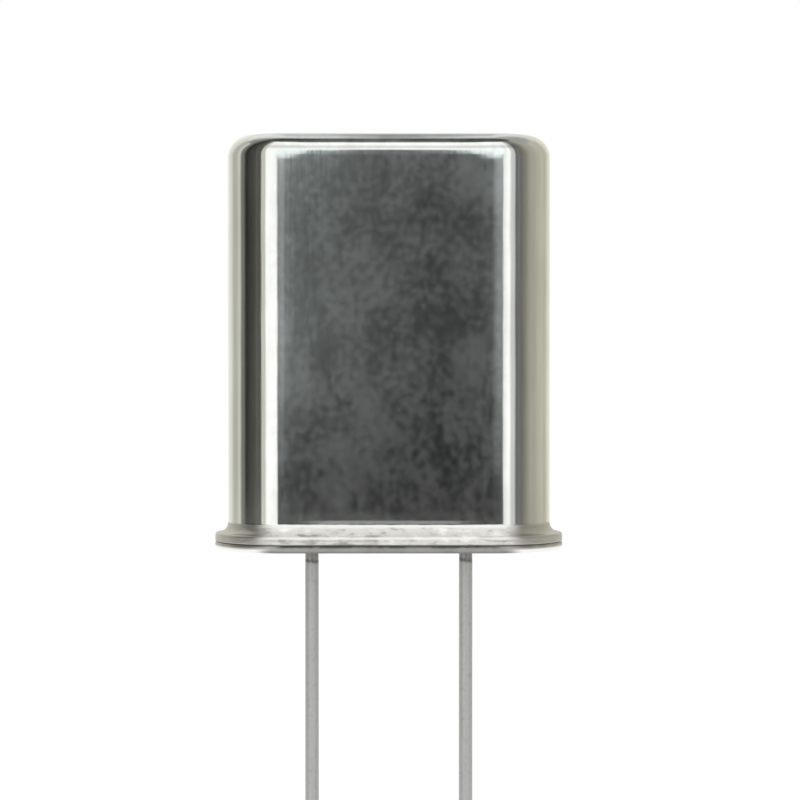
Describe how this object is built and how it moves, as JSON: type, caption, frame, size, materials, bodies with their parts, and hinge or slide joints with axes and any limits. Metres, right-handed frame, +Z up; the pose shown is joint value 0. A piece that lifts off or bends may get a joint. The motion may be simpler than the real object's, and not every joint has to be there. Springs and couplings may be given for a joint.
{
  "type": "crystal oscillator",
  "caption": "Quartz crystal in a tall drawn metal can of rounded oblong section, flanged and welded to its base, with wire leads for through-hole mounting.",
  "frame": {"origin": "seating plane of the base's flange, midway between the two leads", "axes": "+Z up through the can away from the leads, +X along the row of leads, -Y out of the front face"},
  "size_m": [0.011, 0.0046, 0.0258],
  "materials": {
    "cover_metal": "nickel silver, drawn and lightly burnished",
    "base_metal": "nickel-plated steel, satin",
    "seal_glass": "fused sealing glass, dark",
    "lead_wire": "tinned wire, satin",
    "clip_metal": "nickel strip, satin",
    "quartz": "lapped and etched quartz",
    "electrode_film": "evaporated silver",
    "cement": "silver-filled resin, matt"
  },
  "bodies": {
    "root": {"cover": "cover_metal", "base": "base_metal", "glass_seal_left": "seal_glass", "glass_seal_right": "seal_glass", "lead_left": "lead_wire", "lead_right": "lead_wire", "support_clip_left": "clip_metal", "support_clip_right": "clip_metal", "quartz_blank": "quartz", "electrode_front": "electrode_film", "electrode_rear": "electrode_film", "cement_left": "cement", "cement_right": "cement"}
  },
  "joints": []
}
